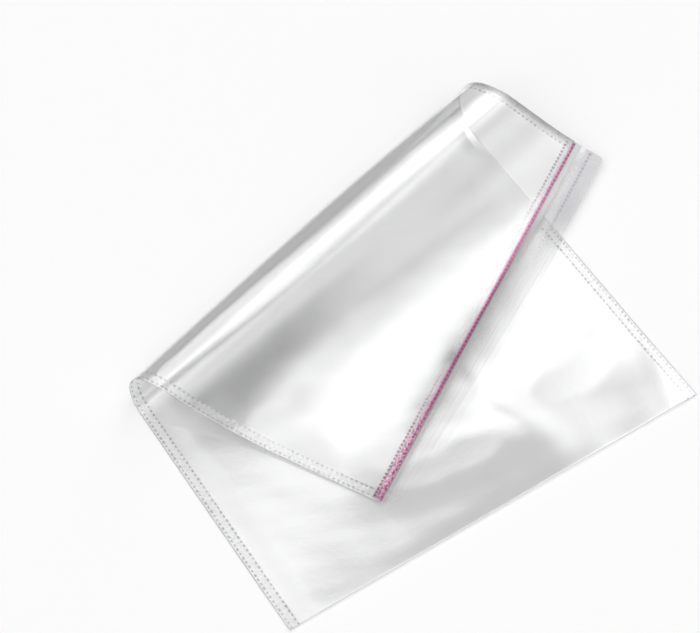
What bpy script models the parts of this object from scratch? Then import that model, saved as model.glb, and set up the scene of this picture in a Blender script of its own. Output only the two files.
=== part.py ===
"""A clear flat bag of welded film with a self-sealing flap, lying down with its top half folded over.

The bag is made the way it is made in life. It is first a flat blank, drawn as u across the bag and v from
the bottom fold to the flap, with a pocket between its two walls. The blank, the adhesive strip and the
release liner are then scored along the same lines and carried over the same soft curl by one function.

The curl isn't a crease: the film lifts off the table, turns back on itself and comes down on its lower half.
Its turn is tight at the left end and wide at the right end, so its score lines fan out like those of a cone.

Units are metres, +Z is up and +X runs along the bag's bottom fold. The origin is under the middle of the
folded bag's bounding box, on the table.
"""

import math

import bmesh
import bpy
import numpy as np
from mathutils import Vector

# The flat bag
BAG_WIDTH = 0.300
BAG_LENGTH = 0.369
FLAP_WIDTH = 0.023
WALL = 0.0003
POCKET_GAP = 0.0003
SIDE_WELD = 0.0064
BOTTOM_ROUND = 0.0003
FLAP_CORNER_RADIUS = 0.0030

# The adhesive strip and its liner, on the outside of the wall that has no flap
ADHESIVE_WIDTH = 0.0055
ADHESIVE_THICKNESS = 0.00015
ADHESIVE_FROM_MOUTH = 0.0010
ADHESIVE_END_MARGIN = 0.0020
LINER_WIDTH = 0.0070
LINER_THICKNESS = 0.00015
LINER_FROM_MOUTH = 0.0003
LINER_END_MARGIN = 0.0010
CONTACT_GAP = 0.0003

# The curl: how its axis lies to the bottom fold, and its size at the axis's left and right ends
CURL_TURN = math.radians(15.4)
CURL_START = (0.1575, 0.1325)
CURL_ARC = (0.0585, 0.1100)
CURL_SETTLE = (0.0880, 0.1100)
UPPER_LIFT = 0.0003

# The flap lifts at its left end and lies nearly flat at its right end
FLAP_LIFT = (math.radians(56.0), math.radians(1.0))
FLAP_BEND_LENGTH = 0.0040

# How finely the blank is scored before it is bent
TURN_SCORES = 18
SETTLE_SCORES = 8
CROSS_SCORES = 6
FLAP_SCORES = 4
BOTTOM_SEGMENTS = 2
CORNER_SEGMENTS = 4
WELD_DISTANCE = 0.00002
CUTTER_MARGIN = 0.002

SHEET = 2 * WALL + POCKET_GAP
ACROSS = Vector((math.cos(CURL_TURN), math.sin(CURL_TURN)))
ALONG = Vector((-math.sin(CURL_TURN), math.cos(CURL_TURN)))
AXIS_LENGTH = BAG_WIDTH * ACROSS.x + (BAG_LENGTH + FLAP_WIDTH) * ACROSS.y


def mixed(ends, share):
    """The value at a share of the way along the curl's axis, from its left and right values."""
    return ends[0] + (ends[1] - ends[0]) * share


class Curl:
    """The bend that carries the flat blank over onto itself.

    A point of the blank is given by t, how far it lies along the curl's axis, and s, how far it lies across
    it. The slope of the film at s runs from 0 on the table, past half a turn at the back of the curl by the
    dip, and back to exactly half a turn where the upper half has settled. The dip is solved so that the upper
    half comes down to its own height over the lower one.
    """

    STEPS = 160
    STATIONS = 13
    HALVINGS = 40
    MOST_DIP = math.radians(80.0)

    def __init__(self):
        self.shares = np.linspace(0.0, 1.0, self.STATIONS)
        self.dips = np.array([self.solve_dip(share) for share in self.shares])

    @staticmethod
    def slope(run, share, dip):
        """The film's slope after this much length past the start of the curl."""
        arc = mixed(CURL_ARC, share)
        turned = np.clip(run / arc, 0.0, 1.0)
        turned = turned - np.sin(2 * np.pi * turned) / (2 * np.pi)
        settled = np.clip((run - arc) / mixed(CURL_SETTLE, share), 0.0, 1.0)
        settled = settled * settled * (3 - 2 * settled)
        return (np.pi + dip) * turned - dip * settled

    def travel(self, run, share, dip):
        """How far the film has gone across the axis and up, and its slope, after each length of run."""
        ladder = np.linspace(0.0, 1.0, self.STEPS + 1)
        slopes = self.slope(run[:, None] * ladder, share[:, None], dip[:, None])
        across, up = (
            run / self.STEPS * (rate[:, 1:] + rate[:, :-1]).sum(axis=1) / 2
            for rate in (np.cos(slopes), np.sin(slopes))
        )
        return across, up, slopes[:, -1]

    def solve_dip(self, share):
        """The dip with which the upper half settles at its height over the lower one."""
        height = SHEET + UPPER_LIFT
        whole = np.array([mixed(CURL_ARC, share) + mixed(CURL_SETTLE, share)])
        low, high = 0.0, self.MOST_DIP
        for _ in range(self.HALVINGS):
            middle = (low + high) / 2
            settled = self.travel(whole, np.array([share]), np.array([middle]))[1][0]
            low, high = (middle, high) if settled > height else (low, middle)
        return (low + high) / 2

    def bend(self, s, t):
        """Where points of the blank go: their place across the axis, their height and the film's slope."""
        share = np.clip(t / AXIS_LENGTH, 0.0, 1.0)
        start = mixed(CURL_START, share)
        dip = np.interp(share, self.shares, self.dips)
        across, up, slope = self.travel(np.maximum(s - start, 0.0), share, dip)
        return np.minimum(s, start) + across, up, slope


def folded(points, curl):
    """Carries points of the flat blank, whose z is their height over its middle, to the folded bag."""
    u, v, height = points.T
    s = u * ALONG.x + v * ALONG.y
    t = u * ACROSS.x + v * ACROSS.y
    across, up, slope = curl.bend(s, t)

    axis = np.array([ACROSS.x, ACROSS.y, 0.0])
    outward = np.array([ALONG.x, ALONG.y, 0.0])
    upward = np.array([0.0, 0.0, 1.0])
    place = t[:, None] * axis + across[:, None] * outward + up[:, None] * upward
    face = np.cos(slope)[:, None] * upward - np.sin(slope)[:, None] * outward
    forward = np.cos(slope)[:, None] * outward + np.sin(slope)[:, None] * upward
    forward = ACROSS.y * axis + ALONG.y * forward

    reach = np.maximum(v - BAG_LENGTH, 0.0)[:, None]
    lift = mixed(FLAP_LIFT, u / BAG_WIDTH)[:, None]
    bent = np.minimum(reach, FLAP_BEND_LENGTH)
    angle = lift * bent / FLAP_BEND_LENGTH
    radius = FLAP_BEND_LENGTH / lift
    straight = reach - bent
    place = place + (radius * np.sin(angle) + straight * np.cos(angle) - reach) * forward
    place = place - (radius * (1 - np.cos(angle)) + straight * np.sin(angle)) * face
    face = np.cos(angle) * face + np.sin(angle) * forward
    return place + height[:, None] * face + np.array([0.0, 0.0, SHEET / 2])


def score(mesh, point, direction):
    """Cuts every face of the blank along one straight line, through its whole thickness."""
    normal = Vector((-direction.y, direction.x, 0.0))
    geometry = mesh.verts[:] + mesh.edges[:] + mesh.faces[:]
    bmesh.ops.bisect_plane(mesh, geom=geometry, plane_co=point.to_3d(), plane_no=normal, dist=WELD_DISTANCE)


def curl_line(turned, settled):
    """A point and a direction of the line where the film has turned and settled by these shares."""
    left, right = (
        end * length * ACROSS
        + (CURL_START[end] + turned * CURL_ARC[end] + settled * CURL_SETTLE[end]) * ALONG
        for end, length in ((0, 0.0), (1, AXIS_LENGTH))
    )
    return left, right - left


def score_blank(mesh):
    """Scores a blank along the curl's fan of lines, across them, and along the flap's bend."""
    for step in range(TURN_SCORES + 1):
        score(mesh, *curl_line(step / TURN_SCORES, 0.0))
    for step in range(1, SETTLE_SCORES + 1):
        score(mesh, *curl_line(1.0, step / SETTLE_SCORES))
    for step in range(1, CROSS_SCORES + 1):
        score(mesh, AXIS_LENGTH * step / (CROSS_SCORES + 1) * ACROSS, ALONG)
    for step in range(FLAP_SCORES + 1):
        crease = BAG_LENGTH + FLAP_BEND_LENGTH * step / FLAP_SCORES
        score(mesh, Vector((0.0, crease)), Vector((1.0, 0.0)))


def box(name, low, high, collection):
    """A box between two corners, as a cube primitive with its place and size in its mesh."""
    bpy.ops.mesh.primitive_cube_add(size=1.0)
    made = bpy.context.object
    made.name = made.data.name = name
    for owner in list(made.users_collection):
        owner.objects.unlink(made)
    collection.objects.link(made)
    low, high = Vector(low), Vector(high)
    for vertex in made.data.vertices:
        vertex.co = low + (vertex.co + Vector((0.5, 0.5, 0.5))) * (high - low)
    return made


def cut_away(target, cutter):
    """Takes the cutter out of the target with a Boolean."""
    cutter.hide_render = True
    cutter.display_type = "WIRE"
    modifier = target.modifiers.new(cutter.name, "BOOLEAN")
    modifier.operation = "DIFFERENCE"
    modifier.solver = "EXACT"
    modifier.object = cutter


def fold_object(piece, curl):
    """Replaces a flat piece's mesh with the scored and folded one."""
    bpy.context.view_layer.update()
    evaluated = piece.evaluated_get(bpy.context.evaluated_depsgraph_get())
    flat = bpy.data.meshes.new_from_object(evaluated)
    piece.modifiers.clear()

    mesh = bmesh.new()
    mesh.from_mesh(flat)
    score_blank(mesh)
    bmesh.ops.remove_doubles(mesh, verts=mesh.verts[:], dist=WELD_DISTANCE)
    bmesh.ops.triangulate(mesh, faces=mesh.faces[:], quad_method="BEAUTY", ngon_method="BEAUTY")
    places = folded(np.array([vertex.co[:] for vertex in mesh.verts]), curl)
    for vertex, place in zip(mesh.verts, places):
        vertex.co = place
    bmesh.ops.recalc_face_normals(mesh, faces=mesh.faces[:])

    mesh.to_mesh(flat)
    mesh.free()
    blank, piece.data = piece.data, flat
    bpy.data.meshes.remove(blank)
    flat.name = piece.name


def round_edges(piece, chosen, radius, segments):
    """Rounds the edges of a box for which chosen(middle, direction) is true."""
    mesh = bmesh.new()
    mesh.from_mesh(piece.data)
    edges = []
    for edge in mesh.edges:
        first, second = (vertex.co for vertex in edge.verts)
        if chosen((first + second) / 2, (second - first).normalized()):
            edges.append(edge)
    bmesh.ops.bevel(mesh, geom=edges, offset=radius, segments=segments, affect="EDGES", profile=0.5)
    mesh.to_mesh(piece.data)
    mesh.free()


def along_bottom_fold(middle, direction):
    """Whether an edge of the flat bag runs along its bottom fold."""
    return abs(direction.x) > 0.5 and middle.y < BAG_LENGTH / 2


def at_flap_corner(middle, direction):
    """Whether an edge of the flat bag stands at a corner of its flap."""
    return abs(direction.z) > 0.5 and middle.y > BAG_LENGTH


def bag_blank(collection, cutters):
    """The flat bag: two walls welded at the sides, folded at the bottom, with the flap on the upper wall."""
    whole = BAG_LENGTH + FLAP_WIDTH
    bag = box("bag_film", (0, 0, -SHEET / 2), (BAG_WIDTH, whole, SHEET / 2), collection)
    round_edges(bag, along_bottom_fold, BOTTOM_ROUND, BOTTOM_SEGMENTS)
    round_edges(bag, at_flap_corner, FLAP_CORNER_RADIUS, CORNER_SEGMENTS)
    pocket = box(
        "pocket_cutter",
        (SIDE_WELD, WALL, -POCKET_GAP / 2),
        (BAG_WIDTH - SIDE_WELD, whole + CUTTER_MARGIN, POCKET_GAP / 2),
        cutters,
    )
    mouth = box(
        "mouth_cutter",
        (-CUTTER_MARGIN, BAG_LENGTH, -SHEET / 2 - CUTTER_MARGIN),
        (BAG_WIDTH + CUTTER_MARGIN, whole + CUTTER_MARGIN, POCKET_GAP / 2),
        cutters,
    )
    cut_away(bag, pocket)
    cut_away(bag, mouth)
    return bag


def strip_blank(name, width, thickness, from_mouth, end_margin, below, collection):
    """A flat strip along the mouth, on the outside of the lower wall and this far below it."""
    top = -SHEET / 2 - below
    return box(
        name,
        (end_margin, BAG_LENGTH - from_mouth - width, top - thickness),
        (BAG_WIDTH - end_margin, BAG_LENGTH - from_mouth, top),
        collection,
    )


def material(name, colour, roughness, alpha, ior):
    """A Principled material for one piece."""
    made = bpy.data.materials.new(name)
    made.use_nodes = True
    shader = next(node for node in made.node_tree.nodes if node.type == "BSDF_PRINCIPLED")
    shader.inputs["Base Color"].default_value = (*colour, 1.0)
    shader.inputs["Roughness"].default_value = roughness
    shader.inputs["Metallic"].default_value = 0.0
    shader.inputs["Alpha"].default_value = alpha
    shader.inputs["IOR"].default_value = ior
    made.diffuse_color = (*colour, alpha)
    return made


def centre_on_table(pieces):
    """Moves the pieces so that the origin is under the middle of their bounding box."""
    points = np.array([vertex.co[:] for piece in pieces for vertex in piece.data.vertices])
    low, high = points.min(axis=0), points.max(axis=0)
    shift = Vector((-(low[0] + high[0]) / 2, -(low[1] + high[1]) / 2, -low[2]))
    for piece in pieces:
        for vertex in piece.data.vertices:
            vertex.co += shift


def new_collection(name):
    """A collection linked to the scene."""
    made = bpy.data.collections.new(name)
    bpy.context.scene.collection.children.link(made)
    return made


def main():
    for old in list(bpy.data.objects):
        bpy.data.objects.remove(old)
    parts = new_collection("cellophane_bag")
    cutters = new_collection("cutters")
    curl = Curl()

    bag = bag_blank(parts, cutters)
    adhesive = strip_blank(
        "adhesive_strip", ADHESIVE_WIDTH, ADHESIVE_THICKNESS, ADHESIVE_FROM_MOUTH, ADHESIVE_END_MARGIN,
        CONTACT_GAP, parts,
    )
    liner = strip_blank(
        "release_liner", LINER_WIDTH, LINER_THICKNESS, LINER_FROM_MOUTH, LINER_END_MARGIN,
        2 * CONTACT_GAP + ADHESIVE_THICKNESS, parts,
    )
    looks = {
        bag: material("clear_film", (0.86, 0.87, 0.87), 0.12, 0.30, 1.50),
        adhesive: material("clear_adhesive", (0.80, 0.84, 0.82), 0.35, 0.45, 1.47),
        liner: material("pink_liner", (0.66, 0.25, 0.45), 0.30, 0.80, 1.50),
    }
    for piece, look in looks.items():
        fold_object(piece, curl)
        piece.data.materials.append(look)
        piece.data.shade_smooth()
    for cutter in list(cutters.objects):
        bpy.data.objects.remove(cutter)
    bpy.data.collections.remove(cutters)
    centre_on_table(list(looks))


main()
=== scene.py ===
"""A clear flat bag of welded film that lies with its top half folded softly over, in plain studio light.

The bag is one sheet of film. It is worked out flat, as a cut sheet folded at the bottom and welded up both
sides, with soft swells and creases in it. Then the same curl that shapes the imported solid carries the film,
its weld marks and its seal strip over, so that all of them follow one surface.

Units are metres. A place on the flat bag is (u, v): u runs across the bag from its left edge, and v from the
bottom fold past the mouth to the edge of the flap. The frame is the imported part's own.
"""

from __future__ import annotations

import logging
import math
from collections.abc import Mapping, Sequence
from dataclasses import dataclass, field
from enum import Enum

import bpy
import numpy as np
from mathutils import Matrix, Vector

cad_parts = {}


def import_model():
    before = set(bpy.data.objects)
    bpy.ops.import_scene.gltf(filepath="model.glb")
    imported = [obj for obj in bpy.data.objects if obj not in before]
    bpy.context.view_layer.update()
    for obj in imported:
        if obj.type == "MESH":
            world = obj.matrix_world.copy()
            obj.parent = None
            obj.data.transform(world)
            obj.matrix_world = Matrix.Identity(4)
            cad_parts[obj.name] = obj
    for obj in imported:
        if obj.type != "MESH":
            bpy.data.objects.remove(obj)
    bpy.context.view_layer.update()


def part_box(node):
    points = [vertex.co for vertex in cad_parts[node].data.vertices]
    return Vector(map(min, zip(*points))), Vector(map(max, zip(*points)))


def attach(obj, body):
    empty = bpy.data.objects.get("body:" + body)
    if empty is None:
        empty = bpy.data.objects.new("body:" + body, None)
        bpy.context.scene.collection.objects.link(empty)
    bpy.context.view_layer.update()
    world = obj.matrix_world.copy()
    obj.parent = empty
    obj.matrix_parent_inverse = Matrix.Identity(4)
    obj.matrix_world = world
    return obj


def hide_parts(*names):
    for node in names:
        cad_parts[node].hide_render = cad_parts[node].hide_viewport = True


LOG = logging.getLogger("cellophane_bag")
BODY = "root"
FLAT_MAP = "cut_sheet"
WHITE = (1.0, 1.0, 1.0, 1.0)

Span = tuple[float, float]
Triple = tuple[float, float, float]
Colour = Triple
Value = "Signal | float"


class Wall(Enum):
    """A wall of the bag, by the side of the flat bag that it is on."""

    FRONT = -1.0
    BACK = 1.0


def eased(value: np.ndarray, low: float, high: float) -> np.ndarray:
    """A smooth step from 0 at low to 1 at high.

    Args:
        value: The numbers to ease.
        low: Where the step starts.
        high: Where it ends.

    Returns:
        The eased numbers.
    """
    share = np.clip((value - low) / (high - low), 0.0, 1.0)
    return share * share * (3.0 - 2.0 * share)


def mixed(ends: Span, share: np.ndarray) -> np.ndarray:
    """The value at a share of the way from the first end to the second."""
    return ends[0] + (ends[1] - ends[0]) * share


@dataclass(frozen=True)
class FlatBag:
    """The bag's flat sizes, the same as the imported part's.

    Attributes:
        width: From side edge to side edge.
        length: From the bottom fold to the mouth.
        flap: The flap's width, past the mouth.
        thickness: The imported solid's thickness, both walls and the pocket.
        wall_rise: How far each wall's film lies from the middle of the bag.
        weld: From a side edge to the inner line of its weld.
        covered: The stretch of the right weld that lies under the upper half and takes no marks.
        corner: The radius of the flap's corners.
    """

    width: float = 0.300
    length: float = 0.369
    flap: float = 0.023
    thickness: float = 0.0009
    wall_rise: float = 0.0003
    weld: float = 0.0064
    covered: Span = (0.155, 0.270)
    corner: float = 0.0030

    @property
    def whole(self) -> float:
        """From the bottom fold to the edge of the flap."""
        return self.length + self.flap

    @property
    def cut_length(self) -> float:
        """The length of the film before it was folded: both walls and the flap."""
        return 2 * self.length + self.flap


@dataclass(frozen=True)
class SoftCurl:
    """The bend that carries the top half of the bag over onto the lower half.

    Each pair holds the curl's values at the left and right ends of its axis.

    Attributes:
        bag: The flat bag.
        turn: The angle from the bottom fold to the curl's axis.
        start: How far across the axis the film lifts off the table.
        arc: The length of film in the turn.
        settle: The length of film that comes down after it.
        stack: How far the middle of the upper half lies over that of the lower one.
        flap_lift: How far the flap bends up at the bag's left and right edges.
        flap_bend: The length of film in the flap's bend.
        steps: How many steps the curl's profile is added up in.
        stations: At how many places along the axis the dip is worked out.
        halvings: How often the search for the dip halves its range.
        batch: How many points are carried at a time.
    """

    bag: FlatBag
    turn: float = math.radians(15.4)
    start: Span = (0.1575, 0.1325)
    arc: Span = (0.0585, 0.1100)
    settle: Span = (0.0880, 0.1100)
    stack: float = 0.0012
    flap_lift: Span = (math.radians(56.0), math.radians(1.0))
    flap_bend: float = 0.0040
    steps: int = 120
    stations: int = 13
    halvings: int = 40
    batch: int = 8000

    @property
    def across(self) -> np.ndarray:
        """The direction of the curl's axis on the flat bag."""
        return np.array([math.cos(self.turn), math.sin(self.turn)])

    @property
    def along(self) -> np.ndarray:
        """The direction at right angles to the curl's axis on the flat bag."""
        return np.array([-math.sin(self.turn), math.cos(self.turn)])

    @property
    def axis_length(self) -> float:
        """How long the curl's axis is, from one corner of the flat bag to the other."""
        return float(self.across @ np.array([self.bag.width, self.bag.whole]))

    def slope(self, run: np.ndarray, share: np.ndarray, dip: np.ndarray) -> np.ndarray:
        """The film's slope after this much length past the start of the curl.

        Args:
            run: The length of film past the start.
            share: How far along the curl's axis, from 0 to 1.
            dip: How far past half a turn the film goes before it settles.

        Returns:
            The slope in radians, which is half a turn once the film has settled.
        """
        arc = mixed(self.arc, share)
        turned = np.clip(run / arc, 0.0, 1.0)
        turned = turned - np.sin(2 * np.pi * turned) / (2 * np.pi)
        settled = eased((run - arc) / mixed(self.settle, share), 0.0, 1.0)
        return (np.pi + dip) * turned - dip * settled

    def travel(self, run: np.ndarray, share: np.ndarray, dip: np.ndarray) -> tuple[np.ndarray, ...]:
        """How far the film has gone across the axis and up, and its slope.

        Args:
            run: The length of film past the start of the curl, one number for each point.
            share: How far along the curl's axis each point is, from 0 to 1.
            dip: The dip at each point.

        Returns:
            The distance across, the height and the slope of each point.
        """
        ladder = np.linspace(0.0, 1.0, self.steps + 1)
        slopes = self.slope(run[:, None] * ladder, share[:, None], dip[:, None])
        step = run / self.steps
        across, up = (
            step * (rate[:, 1:] + rate[:, :-1]).sum(axis=1) / 2 for rate in (np.cos(slopes), np.sin(slopes))
        )
        return across, up, slopes[:, -1]

    def dips(self, shares: np.ndarray) -> np.ndarray:
        """The dips with which the upper half settles at its height over the lower one."""
        whole = mixed(self.arc, shares) + mixed(self.settle, shares)
        low, high = np.zeros_like(shares), np.full_like(shares, math.radians(80.0))
        for _ in range(self.halvings):
            middle = (low + high) / 2
            too_high = self.travel(whole, shares, middle)[1] > self.stack
            low, high = np.where(too_high, middle, low), np.where(too_high, high, middle)
        return (low + high) / 2

    def past_start(self, u: np.ndarray, v: np.ndarray) -> np.ndarray:
        """How far past the start of the curl, at its right end, places of the flat bag are."""
        return u * self.along[0] + v * self.along[1] - self.start[1]

    def carry(self, u: np.ndarray, v: np.ndarray) -> tuple[np.ndarray, np.ndarray]:
        """Carries the middle of the flat bag over the curl.

        Args:
            u: How far across the bag each point is.
            v: How far each point is from the bottom fold.

        Returns:
            The points, measured from the bag's bottom left corner on the table, and the direction there from
            the front wall to the back wall.
        """
        stations = np.linspace(0.0, 1.0, self.stations)
        dips = self.dips(stations)
        parts = [
            self._carry_batch(u[k : k + self.batch], v[k : k + self.batch], stations, dips)
            for k in range(0, len(u), self.batch)
        ]
        middle, face = (np.concatenate(half) for half in zip(*parts))
        return middle, face

    def _carry_batch(
        self, u: np.ndarray, v: np.ndarray, stations: np.ndarray, dips: np.ndarray
    ) -> tuple[np.ndarray, np.ndarray]:
        """Carries one batch of points, as carry() does, and returns the middle of the bag and its face."""
        s = u * self.along[0] + v * self.along[1]
        t = u * self.across[0] + v * self.across[1]
        share = np.clip(t / self.axis_length, 0.0, 1.0)
        start = mixed(self.start, share)
        gone, up, slope = self.travel(np.maximum(s - start, 0.0), share, np.interp(share, stations, dips))
        gone = gone + np.minimum(s, start)

        axis = np.array([*self.across, 0.0])
        outward = np.array([*self.along, 0.0])
        upward = np.array([0.0, 0.0, 1.0])
        cosine, sine = np.cos(slope)[:, None], np.sin(slope)[:, None]
        face = cosine * upward - sine * outward
        forward = self.across[1] * axis + self.along[1] * (cosine * outward + sine * upward)
        place = t[:, None] * axis + gone[:, None] * outward + up[:, None] * upward

        reach = np.maximum(v - self.bag.length, 0.0)[:, None]
        lift = mixed(self.flap_lift, u / self.bag.width)[:, None]
        bent = np.minimum(reach, self.flap_bend)
        angle = lift * bent / self.flap_bend
        radius = self.flap_bend / lift
        straight = reach - bent
        place = place + (radius * np.sin(angle) + straight * np.cos(angle) - reach) * forward
        place = place - (radius * (1 - np.cos(angle)) + straight * np.sin(angle)) * face
        face = np.cos(angle) * face + np.sin(angle) * forward
        return place + np.array([0.0, 0.0, self.bag.thickness / 2]), face


@dataclass(frozen=True)
class Swell:
    """A long soft swell in the film.

    Attributes:
        middle: Its place on the flat bag.
        heading: The angle of its crest from the bottom fold, in degrees.
        reach: How far it runs each way along its crest.
        breadth: How far it spreads each way across its crest.
        height: How high its crest is.
    """

    middle: Span
    heading: float
    reach: float
    breadth: float
    height: float

    def rise(self, u: np.ndarray, v: np.ndarray) -> np.ndarray:
        """The height of the swell at places of the flat bag."""
        turn = math.radians(self.heading)
        right, up = u - self.middle[0], v - self.middle[1]
        along = (right * math.cos(turn) + up * math.sin(turn)) / self.reach
        over = (up * math.cos(turn) - right * math.sin(turn)) / self.breadth
        return self.height * np.exp(-along * along - over * over)


@dataclass(frozen=True)
class Ripples:
    """Faint crossing ripples all over the film, from a fixed seed.

    Attributes:
        seed: The seed of their directions, lengths and places.
        count: How many trains of ripples there are.
        lengths: The shortest and longest ripple.
        height: How high each train is.
    """

    seed: int
    count: int
    lengths: Span
    height: float

    def rise(self, u: np.ndarray, v: np.ndarray) -> np.ndarray:
        """The height of all the ripples at places of the flat bag, never under 0."""
        draw = np.random.default_rng(self.seed)
        total = np.zeros_like(u)
        for _ in range(self.count):
            turn, place = draw.uniform(0.0, 2 * np.pi, 2)
            length = draw.uniform(*self.lengths)
            along = (u * np.cos(turn) + v * np.sin(turn)) * 2 * np.pi / length
            total += self.height * (1 + np.sin(along + place)) / 2
        return total


@dataclass(frozen=True)
class FilmRelief:
    """How far the film of each wall stands off the middle of the bag.

    Attributes:
        bag: The flat bag.
        curl: The curl, which parts the lower half from the upper one.
        lower: What shapes the half that lies on the table.
        upper: What shapes the half that is folded over.
        shared: How much of the relief the wall underneath takes.
        open_over: How far past the weld the pocket opens.
        weld_rise: How far apart the walls are in a weld.
        ride_up_to: The heights between which the upper half stops riding on the lower one's swells.
        lower_ends: Where the lower half's swells fade out, from the start of the curl.
        upper_starts: Where the upper half's swells fade in, from the start of the curl.
        ride_starts: Where the upper half starts to ride on the lower one.
    """

    bag: FlatBag
    curl: SoftCurl
    lower: tuple[Swell | Ripples, ...]
    upper: tuple[Swell | Ripples, ...]
    shared: float = 0.70
    open_over: float = 0.0170
    weld_rise: float = 0.00003
    ride_up_to: Span = (0.004, 0.016)
    lower_ends: Span = (-0.06, 0.0)
    upper_starts: Span = (0.02, 0.06)
    ride_starts: Span = (0.03, 0.06)

    def _table_rise(self, u: np.ndarray, v: np.ndarray) -> np.ndarray:
        """How far the lower half's swells lift it, which is never under the table."""
        return np.maximum(sum(part.rise(u, v) for part in self.lower), 0.0)

    def height(self, wall: Wall, u: np.ndarray, v: np.ndarray, spare: np.ndarray) -> np.ndarray:
        """How far one wall's film is from the middle of the bag, towards the back wall.

        Args:
            wall: The wall.
            u: How far across the bag each point is.
            v: How far each point is from the bottom fold.
            spare: How far each point can sink before the upper half meets the lower one.

        Returns:
            The distance, which is positive towards the back wall.
        """
        from_side = np.minimum(u, self.bag.width - u)
        opened = eased(from_side, self.bag.weld, self.bag.weld + self.open_over)
        apart = mixed((self.weld_rise, self.bag.wall_rise), opened)
        apart = apart * eased(np.minimum(from_side, v), -0.0001, 0.0006)
        past = self.curl.past_start(u, v)
        rise = self._table_rise(u, v) * (1 - eased(past, *self.lower_ends))
        fall = sum(part.rise(u, v) for part in self.upper) * eased(past, *self.upper_starts)
        fall = np.maximum(fall, -spare)
        on_top = rise if wall is Wall.BACK else self.shared * rise
        under = fall if wall is Wall.FRONT else np.minimum(fall, self.shared * fall)
        return wall.value * apart + on_top - under

    def ride(self, middle: np.ndarray, past: np.ndarray) -> np.ndarray:
        """How far the upper half is lifted by the swells of the lower half that it lies on.

        Args:
            middle: The middle of the bag at each point, measured from its bottom left corner on the table.
            past: How far past the start of the curl each point is.

        Returns:
            The lift.
        """
        x, y, z = middle.T
        inside = eased(np.minimum(np.minimum(x, self.bag.width - x), y), -0.012, 0.004)
        lying = (1 - eased(z, *self.ride_up_to)) * eased(past, *self.ride_starts)
        return self._table_rise(x, y) * inside * lying


@dataclass(frozen=True)
class Lie:
    """Where the bag lies, and how flat places on it become places in the frame.

    Attributes:
        curl: The curl that carries them over.
        relief: How far the film stands off.
        corner: The bag's bottom left corner on the table.
        settled: The height of the middle of the upper half where it has settled, and a little over.
        sink: The share of its height over that by which the upper half may sink.
    """

    curl: SoftCurl
    relief: FilmRelief
    corner: Vector
    settled: float = 0.0018
    sink: float = 0.7

    def places(
        self, wall: Wall, u: np.ndarray, v: np.ndarray, proud: float = 0.0
    ) -> tuple[np.ndarray, np.ndarray]:
        """Where points on, or proud of, one wall's film are.

        Args:
            wall: The wall that they are on.
            u: How far across the bag each point is.
            v: How far each point is from the bottom fold.
            proud: How far they stand out from the film, on its outside.

        Returns:
            The points in the frame, and the outward direction at each of them.
        """
        middle, face = self.curl.carry(u, v)
        spare = self.sink * np.maximum(middle[:, 2] - self.settled, 0.0)
        height = self.relief.height(wall, u, v, spare) + wall.value * proud
        points = middle + height[:, None] * face + np.array(self.corner[:])
        points[:, 2] += self.relief.ride(middle, self.curl.past_start(u, v))
        return points, face * wall.value


class Signal:
    """A number that runs through a material's nodes, so that Python's operators add its Math nodes."""

    def __init__(self, graph: ShaderGraph, socket: bpy.types.NodeSocket) -> None:
        """Wraps one output socket of a graph."""
        self.graph = graph
        self.socket = socket

    def _with(self, operation: str, *values: Value) -> Signal:
        """Runs one Math operation on these values, clamped nowhere."""
        made = self.graph.node("ShaderNodeMath", {"operation": operation}, dict(enumerate(values)))
        return Signal(self.graph, made.outputs[0])

    def __add__(self, other: Value) -> Signal:
        """This signal plus another."""
        return self._with("ADD", self, other)

    def __radd__(self, other: Value) -> Signal:
        """Another value plus this signal."""
        return self._with("ADD", other, self)

    def __sub__(self, other: Value) -> Signal:
        """This signal less another."""
        return self._with("SUBTRACT", self, other)

    def __rsub__(self, other: Value) -> Signal:
        """Another value less this signal."""
        return self._with("SUBTRACT", other, self)

    def __mul__(self, other: Value) -> Signal:
        """This signal times another."""
        return self._with("MULTIPLY", self, other)

    def __rmul__(self, other: Value) -> Signal:
        """Another value times this signal."""
        return self._with("MULTIPLY", other, self)

    def __truediv__(self, other: Value) -> Signal:
        """This signal over another."""
        return self._with("DIVIDE", self, other)

    def __rtruediv__(self, other: Value) -> Signal:
        """Another value over this signal."""
        return self._with("DIVIDE", other, self)

    def __pow__(self, other: Value) -> Signal:
        """This signal to a power."""
        return self._with("POWER", self, other)

    def __abs__(self) -> Signal:
        """This signal without its sign."""
        return self._with("ABSOLUTE", self)

    def least(self, other: Value) -> Signal:
        """The lesser of this signal and another."""
        return self._with("MINIMUM", self, other)

    def wave(self, length: float) -> Signal:
        """A sine wave of this length along the signal, from 0 to 1."""
        return self._with("SINE", self * (2 * math.pi / length)) * 0.5 + 0.5

    def step(self, low: float, high: float) -> Signal:
        """A smooth step from 0 at low to 1 at high."""
        made = self.graph.node(
            "ShaderNodeMapRange",
            {"interpolation_type": "SMOOTHSTEP"},
            {"Value": self, "From Min": low, "From Max": high},
        )
        return Signal(self.graph, made.outputs["Result"])

    def line(self, middle: float, half_width: float, blur: float) -> Signal:
        """A soft line, 1 where the signal is near the middle value and 0 away from it.

        Args:
            middle: The value in the middle of the line.
            half_width: Half the width of the line.
            blur: The width of its soft edge.

        Returns:
            The line's mask.
        """
        return 1 - abs(self - middle).step(half_width - blur / 2, half_width + blur / 2)


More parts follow.
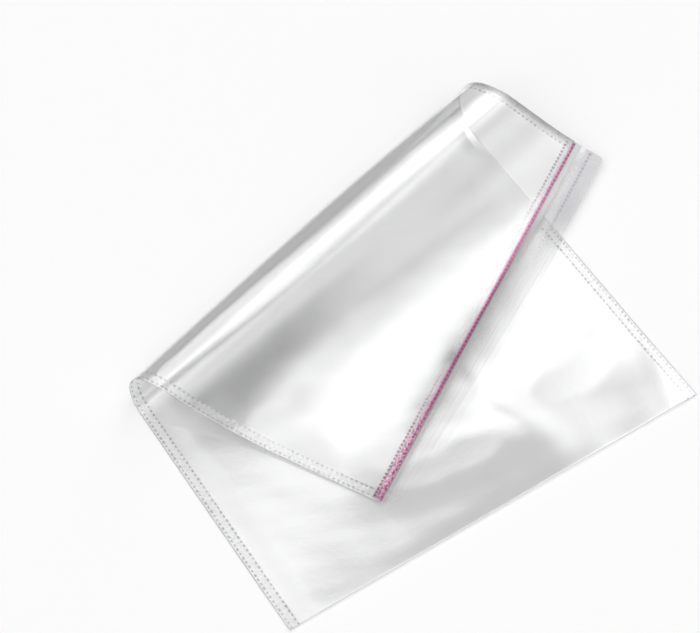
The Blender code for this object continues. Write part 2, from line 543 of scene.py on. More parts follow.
class NodeMaker:
    """A node tree, and the one way to add nodes to it."""

    def __init__(self, tree: bpy.types.NodeTree) -> None:
        """Takes over a node tree and empties it."""
        self.tree = tree
        tree.nodes.clear()

    def node(
        self, kind: str, settings: Mapping[str, object] | None = None, inputs: Mapping | None = None
    ) -> bpy.types.Node:
        """Adds a node.

        Args:
            kind: The node's type.
            settings: Its settings, which are set first.
            inputs: A value, a Signal or an output socket for each of its sockets, by name or number.

        Returns:
            The new node.
        """
        made = self.tree.nodes.new(kind)
        for name, value in (settings or {}).items():
            setattr(made, name, value)
        for name, value in (inputs or {}).items():
            if isinstance(value, Signal):
                self.tree.links.new(value.socket, made.inputs[name])
            elif isinstance(value, bpy.types.NodeSocket):
                self.tree.links.new(value, made.inputs[name])
            else:
                made.inputs[name].default_value = value
        return made


class ShaderGraph(NodeMaker):
    """The node tree of one material or world."""

    def flat(self) -> tuple[Signal, Signal, bpy.types.NodeSocket]:
        """The place on the cut sheet: how far across it, how far along it, and both as a vector."""
        mapped = self.node("ShaderNodeUVMap", {"uv_map": FLAT_MAP})
        parts = self.node("ShaderNodeSeparateXYZ", {}, {0: mapped.outputs["UV"]})
        return Signal(self, parts.outputs[0]), Signal(self, parts.outputs[1]), mapped.outputs["UV"]

    def noise(
        self, place: bpy.types.NodeSocket, size: float, detail: float = 2.0, stretch: Triple = (1.0, 1.0, 1.0)
    ) -> Signal:
        """Soft noise over a surface.

        Args:
            place: The coordinates that it follows.
            size: The size of its patches in metres.
            detail: How much finer noise it carries.
            stretch: How much it is squeezed along each axis.

        Returns:
            The noise, from 0 to 1.
        """
        scaled = self.node("ShaderNodeMapping", {}, {"Vector": place, "Scale": stretch})
        made = self.node(
            "ShaderNodeTexNoise", {}, {"Vector": scaled.outputs[0], "Scale": 1.0 / size, "Detail": detail}
        )
        return Signal(self, made.outputs["Fac"])

    def glance(self) -> Signal:
        """How much the surface is seen edge on, from 0 to 1, alike from both sides."""
        return Signal(self, self.node("ShaderNodeLayerWeight", {}, {"Blend": 0.5}).outputs["Facing"])

    def seen_by(self, *rays: str) -> Signal:
        """Where the light path is one of these kinds of ray, 1, and elsewhere 0."""
        path = self.node("ShaderNodeLightPath")
        total: Value = 0.0
        for ray in rays:
            total = Signal(self, path.outputs[ray]) + total
        return total.least(1.0)

    def tint(
        self, share: Signal, colours: Sequence[Colour | bpy.types.NodeSocket]
    ) -> bpy.types.NodeSocket:
        """A colour between two, by a share. Either may be the outcome of another tint."""
        first, second = (
            colour if isinstance(colour, bpy.types.NodeSocket) else (*colour, 1.0) for colour in colours
        )
        made = self.node("ShaderNodeMix", {"data_type": "RGBA"}, {0: share, 6: first, 7: second})
        return made.outputs[2]


@dataclass(frozen=True)
class ThinFilm:
    """How any thin clear film takes light: a mirror that grows at a glancing view, and a faint haze.

    Attributes:
        name: The material's name.
        colour: The film's own colour, which tints its mirror and its haze.
        mirror: How much one face mirrors light that meets it squarely.
        haze: How much light its haze stops.
        edge_haze: How much more it stops when seen edge on.
        roughness: How rough its gloss is.
        relief_depth: How deep its fine relief is.
        facing_power: How steeply its mirror grows towards a glancing view.
    """

    name: str
    colour: Colour = (0.986, 0.990, 0.989)
    mirror: float = 0.098
    haze: float = 0.110
    edge_haze: float = 0.06
    roughness: float = 0.06
    relief_depth: float = 0.00002
    facing_power: float = 5.0

    def start(self) -> tuple[bpy.types.Material, ShaderGraph]:
        """Makes the empty material and its graph."""
        made = bpy.data.materials.new(self.name)
        made.use_nodes = True
        made.diffuse_color = (*self.colour, 0.4)
        return made, ShaderGraph(made.node_tree)

    def finish(
        self,
        graph: ShaderGraph,
        haze: Value,
        colour: bpy.types.NodeSocket | None = None,
        roughness: Signal | None = None,
        relief: Signal | None = None,
        shine: Value = 1.0,
    ) -> None:
        """Adds the shader.

        Args:
            graph: The material's graph.
            haze: How much light the haze stops at each place, seen squarely.
            colour: The colour at each place, or None for the film's own.
            roughness: The roughness, or None for the film's own.
            relief: The height of its fine relief, from 0 to 1, or None.
            shine: How much of the film's mirror is left at each place.
        """
        glance = graph.glance()
        single = self.mirror + (1 - self.mirror) * glance**self.facing_power
        mirror = (2 * single / (1 + single) / self.colour[1] * shine).least(1.0)
        veil = (haze + self.edge_haze * glance**3.0).least(0.95)
        solid = mirror + veil * (1 - mirror)
        inputs = {
            "Base Color": colour or (*self.colour, 1.0),
            "Metallic": mirror / solid,
            "Roughness": roughness or self.roughness,
            "Alpha": solid,
        }
        if relief is not None:
            sizes = {"Height": relief, "Distance": self.relief_depth, "Strength": 1.0}
            bump = graph.node("ShaderNodeBump", {}, sizes)
            inputs["Normal"] = bump.outputs[0]
        shader = graph.node("ShaderNodeBsdfPrincipled", {}, inputs)
        graph.node("ShaderNodeOutputMaterial", {}, {"Surface": shader.outputs[0]})


@dataclass(frozen=True)
class BagFilm(ThinFilm):
    """The bag's own film, with its welds and, on the flap, what the seal left there, with painted shade on
    the right weld and a painted highlight on the flap.

    Each mark on the flap is given by how far past the mouth its middle is and by half its width.

    Attributes:
        bag: The flat bag.
        right_side: Where the right side starts, across the bag.
        weld_shade_span: Where the painted shade on the right weld starts, along the bag.
        seal_band: The greyish band that the seal left.
        highlight_band: A painted highlight: the clearer, lighter band beside it, where the flap bends.
        stamp: The row of stitch-like marks near the flap's right end.
        stitch: The length of one of those marks and its gap.
        crease: A fine crease.
        weld_shade_grey: The colour of the painted shade on the right weld.
        end_grey: The colour of the flap's right end.
        seal_grey: The colour of the seal's band.
        stamp_grey: The colour of the stitch-like marks.
    """

    bag: FlatBag = field(default_factory=FlatBag)
    right_side: Span = (0.270, 0.290)
    weld_shade_span: Span = (0.270, 0.300)
    seal_band: Span = (0.0030, 0.0020)
    highlight_band: Span = (0.0078, 0.0016)
    stamp: Span = (0.0134, 0.0010)
    stitch: float = 0.0031
    crease: Span = (0.0150, 0.0003)
    weld_shade_grey: Colour = (0.50, 0.50, 0.51)
    end_grey: Colour = (0.62, 0.62, 0.64)
    seal_grey: Colour = (0.62, 0.66, 0.64)
    stamp_grey: Colour = (0.40, 0.35, 0.45)

    def build(self) -> bpy.types.Material:
        """Builds the material."""
        made, graph = self.start()
        u, s, flat = graph.flat()
        from_side = u.least(self.bag.width - u)
        mottle = graph.noise(flat, 0.004, 3.0)
        cloud = graph.noise(flat, 0.045, 2.0)

        # The welds: pressed and mottled, a little whiter at the cut edge, and with painted shade along the
        # right weld where the bag is folded over.
        right = u.step(*self.right_side)
        reach = abs(s)
        start, end = self.bag.covered
        covered = right * (reach.step(start - 0.005, start + 0.005) - reach.step(end - 0.005, end + 0.005))
        pressed = (1 - from_side.step(self.bag.weld - 0.0008, self.bag.weld + 0.0012)) * (1 - covered)
        # Painted shade: the right weld is greyed only on the folded-over half.
        painted_weld_shade = (1 - from_side.step(0.001, 0.008)) * right * reach.step(*self.weld_shade_span)
        rim = 1 - from_side.step(0.0002, 0.0009)
        haze = self.haze + 0.02 * cloud + pressed * 0.09 * mottle + rim * 0.10 + painted_weld_shade * 0.34

        # The flap: clearer than the walls, with the seal's band, a painted highlight band beside it, its
        # marks and its greyer right end.
        past_mouth = s - self.bag.length
        wander = past_mouth + 0.0016 * (mottle - 0.5)
        flap = past_mouth.step(0.0004, 0.0014)
        flap_end = flap * u.step(0.205, 0.250)
        seal = wander.line(*self.seal_band, 0.0014)
        # Painted highlight: a clearer, lighter band along the flap's bend, which also cuts through the grey
        # right end.
        painted_highlight = wander.line(*self.highlight_band, 0.0018) * (0.35 + 0.65 * cloud.step(0.35, 0.60))
        stitches = (u + 0.002 * mottle).wave(self.stitch).step(0.25, 0.60)
        stamp = past_mouth.line(*self.stamp, 0.0010) * stitches * u.step(0.19, 0.27)
        crease = past_mouth.line(*self.crease, 0.0007) * (1 - flap_end)
        hem = past_mouth.line(self.bag.flap, 0.0004, 0.0006)
        lip = reach.line(self.bag.length, 0.0003, 0.0006) * (1 - past_mouth.step(0.0006, 0.0012))
        haze = haze - flap * 0.06 + seal * (0.28 + 0.16 * mottle)
        haze = haze + flap_end * (1 - 0.8 * painted_highlight) * 0.44
        haze = haze + stamp * 0.50 + crease * 0.12 + hem * 0.12 + lip * 0.05

        edged = graph.tint(painted_weld_shade, (self.colour, self.weld_shade_grey))
        ended = graph.tint(flap_end, (edged, self.end_grey))
        band = graph.tint(seal * 0.9, (ended, self.seal_grey))
        light = graph.tint(painted_highlight * 0.8, (band, self.colour))
        colour = graph.tint(stamp, (light, self.stamp_grey))
        gloss = self.roughness + 0.04 * (mottle - 0.5) + pressed * 0.12 + flap * 0.20
        shine = 1 - 0.85 * flap
        fine = graph.noise(flat, 0.0016, 2.0)
        relief = 0.3 * fine + 0.7 * mottle * (1 + 5 * pressed)
        self.finish(graph, haze, colour, gloss, relief, shine)
        return made


@dataclass(frozen=True)
class LinerFilm(ThinFilm):
    """The liner over the seal: clear, with a dashed pink line along the mouth and a speckled pink left end.

    Attributes:
        pink: The colour of the line.
        dark: The colour of its darker dashes.
        pale: The colour of the rest of its left end.
        clear: The colour of the rest.
        grey: The colour of the stitch-like marks at its right end.
        bag: The flat bag.
        line_place: How far inside the mouth the line starts, and how fast it leans out across the bag.
        back_place: How far inside the mouth the inner row of marks is, and half its width.
        dash: The length of a dash of the line and its gap.
        back_dash: The same for the inner row.
        taper: How fast the speckled left end narrows across the bag.
    """

    pink: Colour = (0.66, 0.22, 0.42)
    dark: Colour = (0.30, 0.080, 0.18)
    pale: Colour = (0.87, 0.69, 0.77)
    clear: Colour = (0.86, 0.84, 0.87)
    grey: Colour = (0.36, 0.31, 0.43)
    bag: FlatBag = field(default_factory=FlatBag)
    line_place: Span = (0.0004, 0.0040)
    back_place: Span = (0.0043, 0.0008)
    dash: float = 0.0031
    back_dash: float = 0.0028
    taper: float = 0.030

    def build(self) -> bpy.types.Material:
        """Builds the material."""
        made, graph = self.start()
        u, s, flat = graph.flat()
        from_mouth = self.bag.length - abs(s)
        speck = graph.noise(flat, 0.0015, 1.5)
        grain = graph.noise(flat, 0.0022, 2.0, (1.0, 1.6, 1.0))
        blotch = graph.noise(flat, 0.010, 2.0)
        stray = graph.noise(flat, 0.0045, 2.0, (1.0, 0.04, 1.0))
        patch = graph.noise(flat, 0.022, 1.0, (1.0, 0.04, 1.0))

        line_start, line_lean = self.line_place
        from_line = from_mouth - (line_start - line_lean * u)
        left_end = 1 - (u + 0.040 * (blotch - 0.5)).step(0.040, 0.125)
        right_end = u.step(0.205, 0.280)
        rest = 1 - 0.65 * left_end
        halo = from_line.line(0.0, 0.0021, 0.0018)
        core = from_line.line(0.0, 0.0009, 0.0008) * rest
        along = u + 0.0022 * stray
        dashed = core * along.wave(self.dash).step(0.22, 0.55)
        back = from_mouth.line(*self.back_place, 0.0006)
        back_dashed = back * along.wave(self.back_dash).step(0.25, 0.55)
        tapered = from_mouth + self.taper * u
        inside = from_mouth.step(-0.0014, -0.0008) * (1 - tapered.step(0.0038, 0.0048))
        specks = inside * speck.step(0.50, 0.54) * left_end
        blush = inside * left_end * (0.30 + 0.30 * grain)

        # The band's marks are strong at its two ends and faint in the middle: the clear middle is a painted
        # highlight.
        haze = (
            0.02
            + halo * (0.24 + 0.24 * grain)
            + core * (0.24 + 0.20 * patch)
            + dashed * 0.32
            + back_dashed * (0.05 + 0.20 * left_end + 0.50 * right_end)
            + specks * 0.62
            + blush
        )
        warmth = (0.62 * halo * rest + core + 0.12 * left_end * grain).least(1.0)
        darkness = (dashed + 0.85 * specks + back_dashed * left_end).least(1.0)
        plain = graph.tint(left_end, (self.clear, self.pale))
        marked = graph.tint(back_dashed * right_end, (plain, self.grey))
        warm = graph.tint(warmth, (marked, self.pink))
        colour = graph.tint(darkness, (warm, self.dark))
        self.finish(graph, haze, colour, relief=speck)
        return made


@dataclass(frozen=True)
class PlainFilm(ThinFilm):
    """A film or a bead of film that is mottled all over, such as a weld mark or the clear adhesive.

    Attributes:
        patch: The size of its patches.
    """

    patch: float = 0.0015

    def build(self) -> bpy.types.Material:
        """Builds the material."""
        made, graph = self.start()
        coordinates = graph.node("ShaderNodeTexCoord").outputs["Object"]
        mottle = graph.noise(coordinates, self.patch, 2.0)
        self.finish(graph, self.haze * (0.6 + 0.8 * mottle), relief=mottle)
        return made


def placed(name: str, data: bpy.types.ID) -> bpy.types.Object:
    """Puts a mesh or a camera into the scene as an object of this name."""
    made = bpy.data.objects.new(name, data)
    bpy.context.scene.collection.objects.link(made)
    return made


def grid_faces(ids: np.ndarray, turned: bool) -> list[tuple[int, ...]]:
    """The four corners of each face between rows of points, wound the other way if turned."""
    corners = (ids[:-1, :-1], ids[:-1, 1:], ids[1:, 1:], ids[1:, :-1])
    corners = corners[::-1] if turned else corners
    return list(zip(*(corner.ravel().tolist() for corner in corners)))


def mesh_piece(
    name: str, points: np.ndarray, faces: Sequence, flat: np.ndarray, finish: bpy.types.Material
) -> bpy.types.Object:
    """Makes a smooth piece whose place is in its mesh.

    Args:
        name: The piece's name.
        points: Its points in the frame.
        faces: The corners of each face.
        flat: The place of each point on the cut sheet.
        finish: Its material.

    Returns:
        The new object, linked to the scene.
    """
    mesh = bpy.data.meshes.new(name)
    mesh.from_pydata(points.tolist(), [], faces)
    layer = mesh.uv_layers.new(name=FLAT_MAP)
    corners = np.empty(len(mesh.loops), np.int32)
    mesh.loops.foreach_get("vertex_index", corners)
    layer.data.foreach_set("uv", flat[corners].astype(np.float32).ravel())
    mesh.materials.append(finish)
    mesh.shade_smooth()
    mesh.update()
    return placed(name, mesh)


@dataclass
class FilmBag:
    """The bag's film: two walls that share their side edges and bottom fold, and the flap.

    Attributes:
        bag: The flat bag.
        lie: Where it lies.
        columns: How many strips it has across.
        rows: How many strips each wall has, and the flap.
    """

    bag: FlatBag
    lie: Lie
    columns: int = 150
    rows: tuple[int, int] = (236, 12)

    def _across(self) -> np.ndarray:
        """The columns' places across the bag, closer together in the welds."""
        weld = self.bag.weld
        side = np.array([0.0, 0.0006, 0.0014, 0.0026, 0.0042, 0.0056, weld, weld + 0.0010, weld + 0.0024])
        middle = np.linspace(side[-1], self.bag.width - side[-1], self.columns)
        return np.concatenate([side, middle[1:-1], (self.bag.width - side)[::-1]])

    def _along(self) -> tuple[np.ndarray, np.ndarray]:
        """The rows' places on the walls and on the flap, closer together in the curl."""
        share = np.linspace(0.0, 1.0, 2000)
        v = share * self.bag.length
        density = 1.0 + 1.3 * eased(v, 0.10, 0.15) * (1 - eased(v, 0.26, 0.31)) + 3.0 * (v < 0.0015)
        filled = np.concatenate([[0.0], np.cumsum((density[1:] + density[:-1]) / 2)])
        walls = np.interp(np.linspace(0.0, filled[-1], self.rows[0] + 1), filled, v)
        flap = np.linspace(self.bag.length, self.bag.whole, self.rows[1] + 1)[1:]
        return walls, flap

    def _flap_end(self, u: np.ndarray) -> np.ndarray:
        """How far the flap reaches past the mouth, with its round corners."""
        short = np.clip(self.bag.corner - np.minimum(u, self.bag.width - u), 0.0, self.bag.corner)
        return self.bag.flap - self.bag.corner + np.sqrt(self.bag.corner**2 - short**2)

    def build(self, finish: bpy.types.Material) -> bpy.types.Object:
        """Builds the film.

        Args:
            finish: The film's material.

        Returns:
            The film's object.
        """
        across = self._across()
        walls, flap = self._along()
        wide = len(across)

        u, v = (grid.ravel() for grid in np.meshgrid(across, np.concatenate([walls, flap])))
        past = np.maximum(v - self.bag.length, 0.0)
        v = np.minimum(v, self.bag.length) + past * self._flap_end(u) / self.bag.flap
        back, _ = self.lie.places(Wall.BACK, u, v)
        flat = np.column_stack([u, v])

        inner_u, inner_v = (grid.ravel() for grid in np.meshgrid(across[1:-1], walls[1:]))
        front, _ = self.lie.places(Wall.FRONT, inner_u, inner_v)
        points = np.concatenate([back, front])
        flat = np.concatenate([flat, np.column_stack([inner_u, -inner_v])])

        back_ids = np.arange(len(back)).reshape(-1, wide)
        front_ids = back_ids[: len(walls)].copy()
        front_ids[1:, 1:-1] = len(back) + np.arange(len(front)).reshape(-1, wide - 2)
        back_faces = grid_faces(back_ids, False)
        made = mesh_piece("film_bag", points, back_faces + grid_faces(front_ids, True), flat, finish)
        self._unroll_front(made.data, len(back_faces))
        return made

    @staticmethod
    def _unroll_front(mesh: bpy.types.Mesh, first: int) -> None:
        """Gives the front wall's corners at the shared edges their own places on the cut sheet."""
        layer = mesh.uv_layers[FLAT_MAP]
        places = np.empty(2 * len(mesh.loops), np.float32)
        layer.data.foreach_get("uv", places)
        places = places.reshape(-1, 2)
        start = mesh.polygons[first].loop_start
        places[start:, 1] = -np.abs(places[start:, 1])
        layer.data.foreach_set("uv", places.ravel())


@dataclass(frozen=True)
class Ribbon:
    """One ribbon of the seal, which runs along the mouth.

    Attributes:
        name: The piece's name.
        width: Its width.
        from_mouth: How far its nearer edge is from the mouth, negative if it is past the mouth.
        margin: How far its ends are from the bag's side edges.
        proud: How far it stands out from the film.
    """

    name: str
    width: float
    from_mouth: float
    margin: float
    proud: float


@dataclass
class SealStrip:
    """The clear adhesive along the mouth and the liner over it, on the outside of the front wall.

    Attributes:
        bag: The flat bag.
        lie: Where it lies.
        adhesive: The adhesive's ribbon.
        liner: The liner's ribbon.
        columns: How many strips each ribbon has across the bag.
        rows: How many strips it has along the bag.
    """

    bag: FlatBag
    lie: Lie
    adhesive: Ribbon = Ribbon("adhesive_line", width=0.0043, from_mouth=0.0004, margin=0.0020, proud=0.00008)
    liner: Ribbon = Ribbon("liner_ribbon", width=0.0068, from_mouth=-0.0016, margin=0.0010, proud=0.00016)
    columns: int = 300
    rows: int = 8

    def build(self, ribbon: Ribbon, finish: bpy.types.Material) -> bpy.types.Object:
        """Builds one ribbon.

        Args:
            ribbon: The ribbon.
            finish: Its material.

        Returns:
            The ribbon's object.
        """
        across = np.linspace(ribbon.margin, self.bag.width - ribbon.margin, self.columns + 1)
        steps = np.linspace(ribbon.width, 0.0, self.rows + 1)
        along = self.bag.length - ribbon.from_mouth - steps
        u, v = (grid.ravel() for grid in np.meshgrid(across, along))
        points, _ = self.lie.places(Wall.FRONT, u, v, ribbon.proud)
        ids = np.arange(len(points)).reshape(-1, len(across))
        return mesh_piece(ribbon.name, points, grid_faces(ids, True), np.column_stack([u, -v]), finish)


class SeamTree(NodeMaker):
    """A Geometry Nodes tree that sets small marks, or sweeps a fine bead, along seam lines."""

    def __init__(self, name: str, sizes: Mapping[str, float]) -> None:
        """Makes an empty tree with a named input for each size.

        Args:
            name: The tree's name.
            sizes: The first value of each input.
        """
        super().__init__(bpy.data.node_groups.new(name, "GeometryNodeTree"))
        face = self.tree.interface
        face.new_socket("Geometry", in_out="INPUT", socket_type="NodeSocketGeometry")
        face.new_socket("Geometry", in_out="OUTPUT", socket_type="NodeSocketGeometry")
        for label, value in sizes.items():
            made = face.new_socket(label, in_out="INPUT", socket_type="NodeSocketFloat")
            made.default_value = value
        self.entry = self.node("NodeGroupInput")

    def end(self, shape: bpy.types.NodeSocket, finish: bpy.types.Material) -> None:
        """Ends the tree: makes its copies real, gives them their material and sends them out."""
        real = self.node("GeometryNodeRealizeInstances", {}, {"Geometry": shape})
        dressed = self.node(
            "GeometryNodeSetMaterial", {}, {"Geometry": real.outputs["Geometry"], "Material": finish}
        )
        smooth = self.node("GeometryNodeSetShadeSmooth", {}, {"Geometry": dressed.outputs["Geometry"]})
        self.node("NodeGroupOutput", {}, {"Geometry": smooth.outputs["Geometry"]})

    def apply(self, guide: bpy.types.Object, name: str, values: Mapping[str, float]) -> bpy.types.Object:
        """Runs the tree on a guide and returns the plain mesh that it makes.

        Args:
            guide: The object that holds the seam lines. It is removed.
            name: The new piece's name.
            values: The values of the tree's inputs, by their labels.

        Returns:
            The new piece.
        """
        modifier = guide.modifiers.new(name, "NODES")
        modifier.node_group = self.tree
        for item in self.tree.interface.items_tree:
            if item.in_out == "INPUT" and item.name in values:
                modifier[item.identifier] = values[item.name]
        bpy.context.view_layer.update()
        evaluated = guide.evaluated_get(bpy.context.evaluated_depsgraph_get())
        mesh = bpy.data.meshes.new_from_object(evaluated)
        mesh.name = name
        line = guide.data
        bpy.data.objects.remove(guide)
        bpy.data.meshes.remove(line)
        return placed(name, mesh)


@dataclass
class SideWelds:
    """The marks of the two side welds: rows of small pressed dashes, and the bead along each cut edge.

    Attributes:
        bag: The flat bag.
        lie: Where it lies.
        rows: How far each row of dashes is from the edge.
        spacing: From one dash to the next.
        dash: The length, breadth and thickness of a dash.
        sizes_drawn: The least and the greatest share of its size that a dash is drawn at.
        bead: The radius of the bead.
        samples: How many points each guide line has.
    """

    bag: FlatBag
    lie: Lie
    rows: tuple[float, ...] = (0.0017, 0.0064)
    spacing: float = 0.0033
    dash: Triple = (0.0021, 0.0016, 0.00014)
    sizes_drawn: Span = (0.65, 1.1)
    bead: float = 0.00013
    samples: int = 420

    def _guide(
        self, name: str, insets: Sequence[float], end: float, unmarked: Span | None = None
    ) -> bpy.types.Object:
        """Lines along the bag's sides, with the film's face at each of their points.

        Args:
            name: The name of the mesh and its object.
            insets: How far from the side edges each line is.
            end: Where the lines end, measured from the bottom fold.
            unmarked: The stretch of the right side where there is no line.

        Returns:
            The lines, linked to the scene.
        """
        points, faces, edges = [], [], []
        for inset in insets:
            for side in (inset, self.bag.width - inset):
                v = np.linspace(0.0012, end, self.samples)
                u = np.full_like(v, side)
                front, face = self.lie.places(Wall.FRONT, u, v)
                back, _ = self.lie.places(Wall.BACK, u, v)
                first = sum(len(part) for part in points)
                points.append((front + back) / 2)
                faces.append(face)
                marked = np.ones(self.samples, bool)
                if unmarked and side > inset:
                    marked = (v < unmarked[0]) | (v > unmarked[1])
                linked = np.flatnonzero(marked[:-1] & marked[1:]).tolist()
                edges += [(first + k, first + k + 1) for k in linked]
        mesh = bpy.data.meshes.new(name)
        mesh.from_pydata(np.concatenate(points).tolist(), edges, [])
        held = mesh.attributes.new("face", "FLOAT_VECTOR", "POINT")
        held.data.foreach_set("vector", np.concatenate(faces).astype(np.float32).ravel())
        return placed(name, mesh)

    def dashes(self, finish: bpy.types.Material) -> bpy.types.Object:
        """Sets the dashes along both welds."""
        sizes = {"Spacing": self.spacing, **dict(zip(("Length", "Breadth", "Thickness"), self.dash))}
        seam = SeamTree("weld_dashes", sizes)
        entry = seam.entry
        curve = seam.node("GeometryNodeMeshToCurve", {}, {"Mesh": entry.outputs["Geometry"]})
        spaced = seam.node(
            "GeometryNodeResampleCurve",
            {"mode": "LENGTH"},
            {"Curve": curve.outputs[0], "Length": entry.outputs["Spacing"]},
        )
        face = seam.node("GeometryNodeInputNamedAttribute", {"data_type": "FLOAT_VECTOR"}, {"Name": "face"})
        way = seam.node("GeometryNodeInputTangent")
        turn = seam.node(
            "FunctionNodeAxesToRotation",
            {"primary_axis": "Z", "secondary_axis": "X"},
            {"Primary Axis": face.outputs[0], "Secondary Axis": way.outputs[0]},
        )
        pill = seam.node("GeometryNodeMeshUVSphere", {}, {"Segments": 8, "Rings": 4, "Radius": 0.5})
        smallest, greatest = self.sizes_drawn
        chance = seam.node(
            "FunctionNodeRandomValue", {"data_type": "FLOAT"}, {"Min": smallest, "Max": greatest, "Seed": 7}
        )
        size = seam.node(
            "ShaderNodeCombineXYZ",
            {},
            {0: entry.outputs["Length"], 1: entry.outputs["Breadth"], 2: entry.outputs["Thickness"]},
        )
        drawn = next(out for out in chance.outputs if out.enabled and out.type == "VALUE")
        varied = seam.node(
            "ShaderNodeVectorMath", {"operation": "SCALE"}, {0: size.outputs[0], "Scale": drawn}
        )
        set_out = seam.node(
            "GeometryNodeInstanceOnPoints",
            {},
            {
                "Points": spaced.outputs[0],
                "Instance": pill.outputs["Mesh"],
                "Rotation": turn.outputs[0],
                "Scale": varied.outputs[0],
            },
        )
        seam.end(set_out.outputs[0], finish)
        guide = self._guide("weld_lines", self.rows, self.bag.length - 0.0015, self.bag.covered)
        return seam.apply(guide, "weld_dashes", sizes)

    def beads(self, finish: bpy.types.Material) -> bpy.types.Object:
        """Sweeps the bead along both cut edges."""
        sizes = {"Radius": self.bead}
        seam = SeamTree("weld_bead", sizes)
        curve = seam.node("GeometryNodeMeshToCurve", {}, {"Mesh": seam.entry.outputs["Geometry"]})
        ring = seam.node(
            "GeometryNodeCurvePrimitiveCircle",
            {},
            {"Resolution": 6, "Radius": seam.entry.outputs["Radius"]},
        )
        swept = seam.node(
            "GeometryNodeCurveToMesh",
            {},
            {"Curve": curve.outputs[0], "Profile Curve": ring.outputs[0], "Fill Caps": True},
        )
        seam.end(swept.outputs[0], finish)
        guide = self._guide("edge_lines", (0.0,), self.bag.length)
        return seam.apply(guide, "weld_bead", sizes)


@dataclass(frozen=True)
class LensView:
    """The camera, placed from the bag's bottom left corner.

    Attributes:
        stand: Where it stands from that corner.
        heading: Its bearing from +Y towards +X, in degrees.
        tilt: How far it looks below the horizon, in degrees.
        roll: How far it is rolled, in degrees.
        lens: Its focal length in millimetres.
        sensor: The width of its sensor in millimetres.
        clip: The nearest and the farthest that it sees.
    """

    stand: Triple = (-0.2851, -0.4275, 1.1148)
    heading: float = 36.257
    tilt: float = 56.662
    roll: float = 3.682
    lens: float = 107.99
    sensor: float = 36.0
    clip: Span = (0.05, 50.0)

    def build(self, corner: Vector) -> bpy.types.Object:
        """Makes the camera and hands it to the scene."""
        bearing, tilt, roll = (math.radians(angle) for angle in (self.heading, self.tilt, self.roll))
        ahead = Vector((math.sin(bearing), math.cos(bearing), 0.0))
        right = Vector((math.cos(bearing), -math.sin(bearing), 0.0))
        forward = ahead * math.cos(tilt) - Vector((0.0, 0.0, math.sin(tilt)))
        above = ahead * math.sin(tilt) + Vector((0.0, 0.0, math.cos(tilt)))
        side = right * math.cos(roll) + above * math.sin(roll)
        top = above * math.cos(roll) - right * math.sin(roll)
        data = bpy.data.cameras.new("camera")
        data.lens = self.lens
        data.sensor_width = self.sensor
        data.clip_start, data.clip_end = self.clip
        made = placed("camera", data)
        turned = Matrix((side, top, -forward)).transposed().to_4x4()
        made.matrix_world = Matrix.Translation(corner + Vector(self.stand)) @ turned
        bpy.context.scene.camera = made
        return made


@dataclass(frozen=True)
class Softbox:
    """A soft bright panel overhead, given by its spans as they look on a map of the sky from below.

    Attributes:
        right: Its span to the right, from -1 to 1 at the horizon, and the blur of its edges.
        ahead: Its span ahead of the camera in the same way.
        strength: How bright it is.
    """

    right: Triple
    ahead: Triple
    strength: float

    def glow(self, right: Signal, ahead: Signal) -> Signal:
        """Its light from each direction."""
        mask: Value = self.strength
        for place, (low, high, blur) in ((right, self.right), (ahead, self.ahead)):
            mask = place.step(low - blur, low + blur) * mask
            mask = (1 - place.step(high - blur, high + blur)) * mask
        return mask


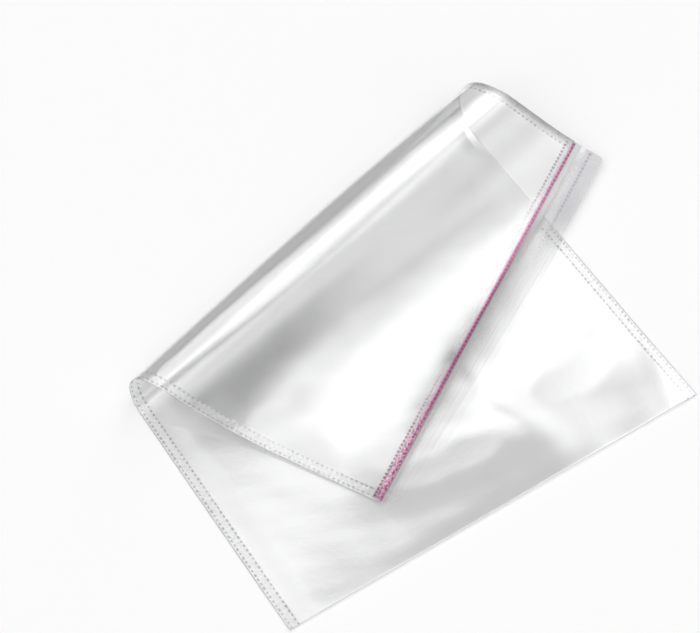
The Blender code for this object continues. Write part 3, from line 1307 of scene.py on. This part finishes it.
@dataclass(frozen=True)
class Studio:
    """The floor and the light round it.

    Attributes:
        heading: The camera's bearing, by which the softboxes are placed, in degrees.
        room: How bright the unlit room is.
        boxes: The softboxes.
        floor_colour: The floor's colour for the light that it throws back at the bag.
        seen_floor: Its colour as it is seen, and mirrored, which takes the backdrop to white.
        floor_size: The floor's side.
    """

    heading: float
    room: float = 0.021
    boxes: tuple[Softbox, ...] = (
        Softbox((0.104, 0.417, 0.072), (0.229, 0.945, 0.145), 2.471),
        Softbox((0.413, 0.643, 0.108), (-0.570, 0.789, 0.123), 1.185),
        Softbox((-0.698, 0.125, 0.042), (-0.762, 0.480, 0.033), 1.435),
        Softbox((-1.200, 1.200, 0.100), (-1.200, -0.380, 0.080), 0.733),
    )
    floor_colour: Colour = (0.65, 0.65, 0.65)
    seen_floor: Colour = (1.0, 1.0, 1.0)
    floor_size: float = 12.0

    def build_world(self) -> None:
        """Makes the world: a dim room with softboxes, and plain white where it is seen past the floor."""
        world = bpy.data.worlds.new("studio")
        world.use_nodes = True
        graph = ShaderGraph(world.node_tree)
        way = graph.node("ShaderNodeTexCoord").outputs["Generated"]
        bearing = math.radians(self.heading)
        axes = (
            (math.cos(bearing), -math.sin(bearing), 0.0),
            (math.sin(bearing), math.cos(bearing), 0.0),
            (0.0, 0.0, 1.0),
        )
        times = {"operation": "DOT_PRODUCT"}
        dots = [graph.node("ShaderNodeVectorMath", times, {0: way, 1: axis}) for axis in axes]
        right, ahead, above = (Signal(graph, dot.outputs["Value"]) for dot in dots)
        glow = sum((box.glow(right, ahead) for box in self.boxes), self.room) * above.step(-0.02, 0.02)
        seen = graph.seen_by("Is Camera Ray", "Is Transmission Ray")
        strength = glow * (1 - seen) + seen
        light = graph.node("ShaderNodeBackground", {}, {"Color": WHITE, "Strength": strength})
        graph.node("ShaderNodeOutputWorld", {}, {"Surface": light.outputs[0]})
        bpy.context.scene.world = world

    def build_floor(self) -> bpy.types.Object:
        """Makes the plain pale floor."""
        half = self.floor_size / 2
        mesh = bpy.data.meshes.new("floor")
        corners = [(-half, -half, 0.0), (half, -half, 0.0), (half, half, 0.0), (-half, half, 0.0)]
        mesh.from_pydata(corners, [], [(0, 1, 2, 3)])
        finish = bpy.data.materials.new("pale_floor")
        finish.use_nodes = True
        graph = ShaderGraph(finish.node_tree)
        seen = graph.seen_by("Is Camera Ray", "Is Glossy Ray", "Is Transmission Ray")
        colour = graph.tint(seen, (self.floor_colour, self.seen_floor))
        paper = graph.node("ShaderNodeBsdfDiffuse", {}, {"Color": colour})
        graph.node("ShaderNodeOutputMaterial", {}, {"Surface": paper.outputs[0]})
        mesh.materials.append(finish)
        made = placed("floor", mesh)
        return made


def lower_swells() -> tuple[Swell | Ripples, ...]:
    """The swells of the half that lies on the table."""
    return (
        Ripples(seed=3, count=9, lengths=(0.014, 0.040), height=0.00001),
        Swell((0.208, 0.009), 48, 0.020, 0.0434, 0.00087),
        Swell((0.194, 0.048), -64, 0.028, 0.0110, 0.00039),
        Swell((0.282, 0.007), -53, 0.032, 0.0308, 0.00106),
        Swell((0.089, 0.125), -29, 0.053, 0.0388, 0.00150),
        Swell((0.007, -0.009), 12, 0.110, 0.0244, 0.00085),
        Swell((0.290, 0.014), 77, 0.033, 0.0102, 0.00039),
        Swell((0.218, 0.108), 25, 0.063, 0.0275, 0.00130),
        Swell((0.224, 0.039), -22, 0.044, 0.0121, 0.00034),
        Swell((0.187, 0.086), -88, 0.020, 0.0100, 0.00036),
        Swell((0.163, 0.020), 64, 0.024, 0.0455, 0.00073),
        Swell((0.085, 0.036), -18, 0.023, 0.0172, 0.00024),
        Swell((0.165, -0.006), 0, 0.109, 0.0115, 0.00105),
        Swell((0.166, 0.028), -9, 0.047, 0.0171, -0.00066),
        Swell((0.190, 0.044), -3, 0.108, 0.0197, -0.00046),
        Swell((0.022, 0.151), -69, 0.022, 0.0195, 0.00158),
    )


def upper_swells() -> tuple[Swell | Ripples, ...]:
    """The swells of the half that is folded over."""
    return (
        Ripples(seed=11, count=7, lengths=(0.016, 0.050), height=0.00001),
        Swell((0.095, 0.228), 15, 0.125, 0.0080, 0.00206),
        Swell((0.149, 0.309), 16, 0.200, 0.0152, -0.00116),
        Swell((0.072, 0.330), 14, 0.093, 0.0227, 0.00126),
        Swell((0.092, 0.307), 33, 0.057, 0.0320, 0.00186),
        Swell((0.261, 0.302), 17, 0.132, 0.0080, 0.00110),
        Swell((0.012, 0.224), 20, 0.137, 0.0080, 0.00129),
        Swell((0.225, 0.268), 18, 0.095, 0.0080, 0.00196),
        Swell((0.102, 0.318), 15, 0.053, 0.0154, -0.00163),
        Swell((0.125, 0.306), 13, 0.137, 0.0290, 0.00243),
    )


def main() -> None:
    """Builds the bag and the studio round it."""
    logging.basicConfig(level=logging.INFO, format="%(name)s: %(message)s")
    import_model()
    low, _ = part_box("bag_film")
    corner = Vector((low.x, low.y, low.z))

    bpy.context.scene.view_settings.view_transform = "Standard"
    view = LensView()
    view.build(corner)
    studio = Studio(view.heading)
    studio.build_world()
    studio.build_floor()

    bag = FlatBag()
    curl = SoftCurl(bag)
    lie = Lie(curl, FilmRelief(bag, curl, lower_swells(), upper_swells()), corner)
    film = FilmBag(bag, lie).build(BagFilm("clear_film", bag=bag).build())
    strip = SealStrip(bag, lie)
    glue = PlainFilm("clear_adhesive", (0.70, 0.74, 0.72), haze=0.06, roughness=0.3)
    adhesive = strip.build(strip.adhesive, glue.build())
    liner = strip.build(strip.liner, LinerFilm("pink_liner", bag=bag).build())
    welds = SideWelds(bag, lie)
    pressed = PlainFilm("pressed_film", (0.62, 0.63, 0.63), haze=0.19, roughness=0.40)
    dashes = welds.dashes(pressed.build())
    edge = PlainFilm("bead_film", (0.66, 0.67, 0.67), haze=0.12, roughness=0.2)
    bead = welds.beads(edge.build())

    film_slot, glue_slot, liner_slot = "clear_film", "clear_adhesive", "pink_liner"
    slots = {film: film_slot, adhesive: glue_slot, liner: liner_slot, dashes: film_slot, bead: film_slot}
    for piece, slot in slots.items():
        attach(piece, BODY)
        LOG.info("%s: %d faces", piece.name, len(piece.data.polygons))
    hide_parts("bag_film")
    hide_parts("adhesive_strip")
    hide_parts("release_liner")


if __name__ == "__main__":
    main()
